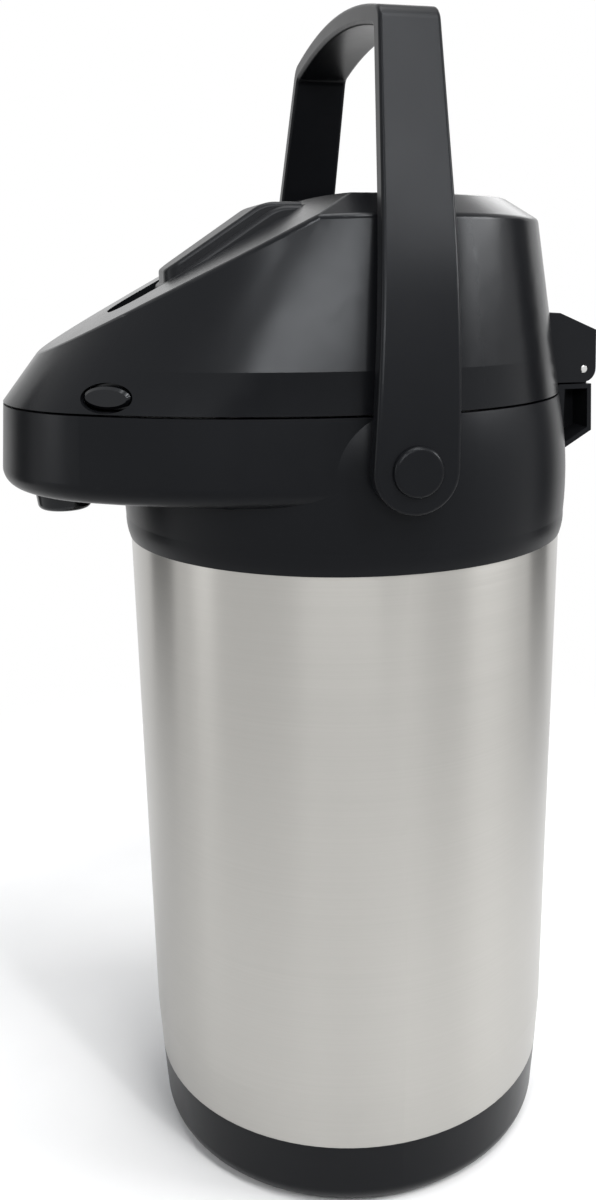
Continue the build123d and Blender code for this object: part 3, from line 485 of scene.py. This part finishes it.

# %% [markdown]
# ### Return spring
# The spring is round steel wire in six turns, and it pushes the plate up again. A curve with a bevel would give
# the same shape; here the wire's round section is carried along the helix as a mesh.

# %% Return spring
WIRE_RADIUS = 0.9 * MM
WIRE_SIDES = 12
COIL_RADIUS = 19.0 * MM
COIL_TURNS = 6
COIL_STEPS = 48


def spring_coil():
    """A round wire carried along a helix: radius = coil + wire * cos(across), height = climb + wire *
    sin(across). A flat face closes each end."""
    share = np.linspace(0, 1, COIL_TURNS * COIL_STEPS + 1)[:, None]
    angle = 2 * np.pi * COIL_TURNS * share
    across = -np.linspace(0, 2 * np.pi, WIRE_SIDES, endpoint=False)[None, :]
    radius = COIL_RADIUS + WIRE_RADIUS * np.cos(across)
    climb = pump_bottom + WIRE_RADIUS + (pump_top - pump_bottom - 2 * WIRE_RADIUS) * share
    first_end = np.arange(WIRE_SIDES)
    last_end = (len(share) - 1) * WIRE_SIDES + first_end
    faces = grid_faces(len(share), WIRE_SIDES, False) + [first_end[::-1].tolist(), last_end.tolist()]
    return pump_piece("spring_coil", radius * np.cos(angle), radius * np.sin(angle),
                      climb + WIRE_RADIUS * np.sin(across), faces, "return_spring")


spring = spring_coil()

# %% [markdown]
# ## Floor
# The photograph is a cut-out on white. The floor is pale paint that keeps the pot's shadow, and it fades
# into the white backdrop with its distance from the pot, so that no edge shows. A brighter floor would
# need more light, and that would spoil the blacks.

# %% Floor
FLOOR_HALF = 1.2
FADE_START = 0.22
FADE_END = 0.55
FLOOR_MOTTLE = (30, 30, 30)
PAINT_DARK = (0.90, 0.90, 0.90)
PAINT_PALE = (0.93, 0.93, 0.93)


def flat_sheet(name, corners, material):
    """One rectangle that belongs to the stage and not to the pot."""
    mesh = bpy.data.meshes.new(name)
    mesh.from_pydata(corners, [], [(0, 1, 2, 3)])
    mesh.materials.append(material)
    sheet = added(name, mesh)
    return sheet


floor_finish = Finish("floor_white")
paint = floor_finish.node("ShaderNodeBsdfPrincipled", inputs={
    "Base Color": floor_finish.tint(floor_finish.noise(FLOOR_MOTTLE), PAINT_DARK, PAINT_PALE),
    "Roughness": 0.8, "Specular IOR Level": 0.1})
clear = floor_finish.node("ShaderNodeBsdfTransparent")
reach = floor_finish.node("ShaderNodeVectorMath", {"operation": "LENGTH"}, {0: floor_finish.place()},
                          "Value")
fade = floor_finish.ease(reach, FADE_START, FADE_END)
floor_finish.show(floor_finish.node("ShaderNodeMixShader", inputs={0: fade, 1: paint, 2: clear}))
floor_corners = [(x * FLOOR_HALF, y * FLOOR_HALF, 0) for x, y in ((-1, -1), (1, -1), (1, 1), (-1, 1))]
floor = flat_sheet("floor", floor_corners, floor_finish.material)
print("floor", 2 * FLOOR_HALF, "m wide")

# %% [markdown]
# ## Backdrop
# What the camera, the metal and the gloss see behind the pot is plain white. A white world would also
# light the pot from all sides and flatten it, so rays of any other kind get a dimmer, slightly cool room.

# %% Backdrop
ROOM_COLOUR = (0.92, 0.95, 1.0, 1)
ROOM_STRENGTH = 0.25

world = bpy.data.worlds.new("room")
bpy.context.scene.world = world
world.use_nodes = True
room = Nodes(world.node_tree)
by_camera, by_gloss, by_glass = (room.node("ShaderNodeLightPath", output=ray)
                                 for ray in ("Is Camera Ray", "Is Glossy Ray", "Is Transmission Ray"))
dim = room.node("ShaderNodeBackground", inputs={"Color": ROOM_COLOUR, "Strength": ROOM_STRENGTH})
white = room.node("ShaderNodeBackground", inputs={"Color": WHITE, "Strength": 1.0})
seen = by_camera.higher(by_gloss).higher(by_glass)
room.show(room.node("ShaderNodeMixShader", inputs={0: seen, 1: dim, 2: white}), "ShaderNodeOutputWorld")
print("room at", ROOM_STRENGTH)

# %% [markdown]
# ## Lamps
# Black gloss shows little but the lamps it mirrors, so each lamp is a soft box whose place follows from
# where the photograph has a pale patch. The overhead box gives the plain level. The high box lights the
# top of the handle, the front and rear boxes draw the patches on the lid's wall, two tall strips make the
# upright bands on the steel, and the side and back boxes keep the far sides readable. Places are given the
# way that a studio would: a bearing round the pot, a rise above the level and a distance.

# %% Lamps
LAMP_AIM = Vector((0, 0, 0.30))


def outward(bearing, rise=0.0):
    """Direction away from the pot, by a bearing from the camera's side towards the hinge and a rise, both in
    degrees."""
    turn = AZIMUTH + math.radians(bearing)
    lift = math.radians(rise)
    return Vector((math.sin(turn) * math.cos(lift), -math.cos(turn) * math.cos(lift), math.sin(lift)))


def soft_lamp(name, bearing, rise, distance, width, height, brightness):
    """Rectangular lamp turned towards the pot. A brightness of 1 is as bright as the white backdrop, which
    takes an energy of brightness * pi * width * height."""
    data = bpy.data.lights.new(name, "AREA")
    data.shape = "RECTANGLE"
    data.size = width
    data.size_y = height
    data.energy = brightness * math.pi * width * height
    lamp = added(name, data)
    lamp.location = LAMP_AIM + outward(bearing, rise) * distance
    lamp.rotation_mode = "QUATERNION"
    lamp.rotation_quaternion = outward(bearing, rise).to_track_quat("Z", "Y")
    lamp.visible_camera = False
    print("lamp", name)
    return lamp


soft_lamp("overhead", bearing=0, rise=90, distance=1.6, width=0.9, height=0.9, brightness=5.8)
soft_lamp("high_box", bearing=32, rise=60, distance=1.5, width=0.45, height=0.45, brightness=15.0)
soft_lamp("front_box", bearing=2, rise=20, distance=1.6, width=0.9, height=0.26, brightness=16.0)
soft_lamp("rear_box", bearing=83, rise=23, distance=1.5, width=0.75, height=0.4, brightness=15.0)
soft_lamp("side_box", bearing=-75, rise=10, distance=1.4, width=0.3, height=0.6, brightness=3.5)
soft_lamp("back_box", bearing=165, rise=26, distance=1.6, width=1.1, height=0.5, brightness=2.2)
soft_lamp("front_strip", bearing=-21, rise=39, distance=1.6, width=0.10, height=0.5, brightness=30.0)
soft_lamp("rear_strip", bearing=37, rise=39, distance=1.6, width=0.10, height=0.5, brightness=36.0)

# %% [markdown]
# ## Dark cards
# On white, polished metal loses its edges, and black gloss turns grey. In a studio, black cards stand beside
# the set, out of the picture, and these do the same: the left and right cards edge the flask, and the front
# card keeps the collar black. Less light would not do it, because the whole pot would turn darker, while a
# card only acts on what mirrors it.

# %% Dark cards
card_finish = moulded("card_black", (0.01, 0.01, 0.01), 0.9, grain=500, grain_depth=0.0, cloudy=0.0,
                      gleam=0.0)


def dark_card(name, bearing, distance, width, low, high):
    """Upright black card that faces the pot, from a low to a high edge, unseen by the camera."""
    middle = outward(bearing) * distance
    half = outward(bearing + 90) * (width / 2)
    corners = [(*side.xy, z) for side, z in ((middle - half, low), (middle + half, low),
                                             (middle + half, high), (middle - half, high))]
    card = flat_sheet(name, corners, card_finish)
    card.visible_camera = False
    print("card", name)
    return card


dark_card("front_card", bearing=4, distance=0.8, width=0.52, low=0.30, high=0.52)
dark_card("left_card", bearing=-106, distance=0.9, width=0.34, low=0.0, high=0.7)
dark_card("right_card", bearing=118, distance=0.9, width=0.34, low=0.0, high=0.7)

# %% [markdown]
# ## Last update
# The view layer is brought up to date once more.

# %% Finish
bpy.context.view_layer.update()
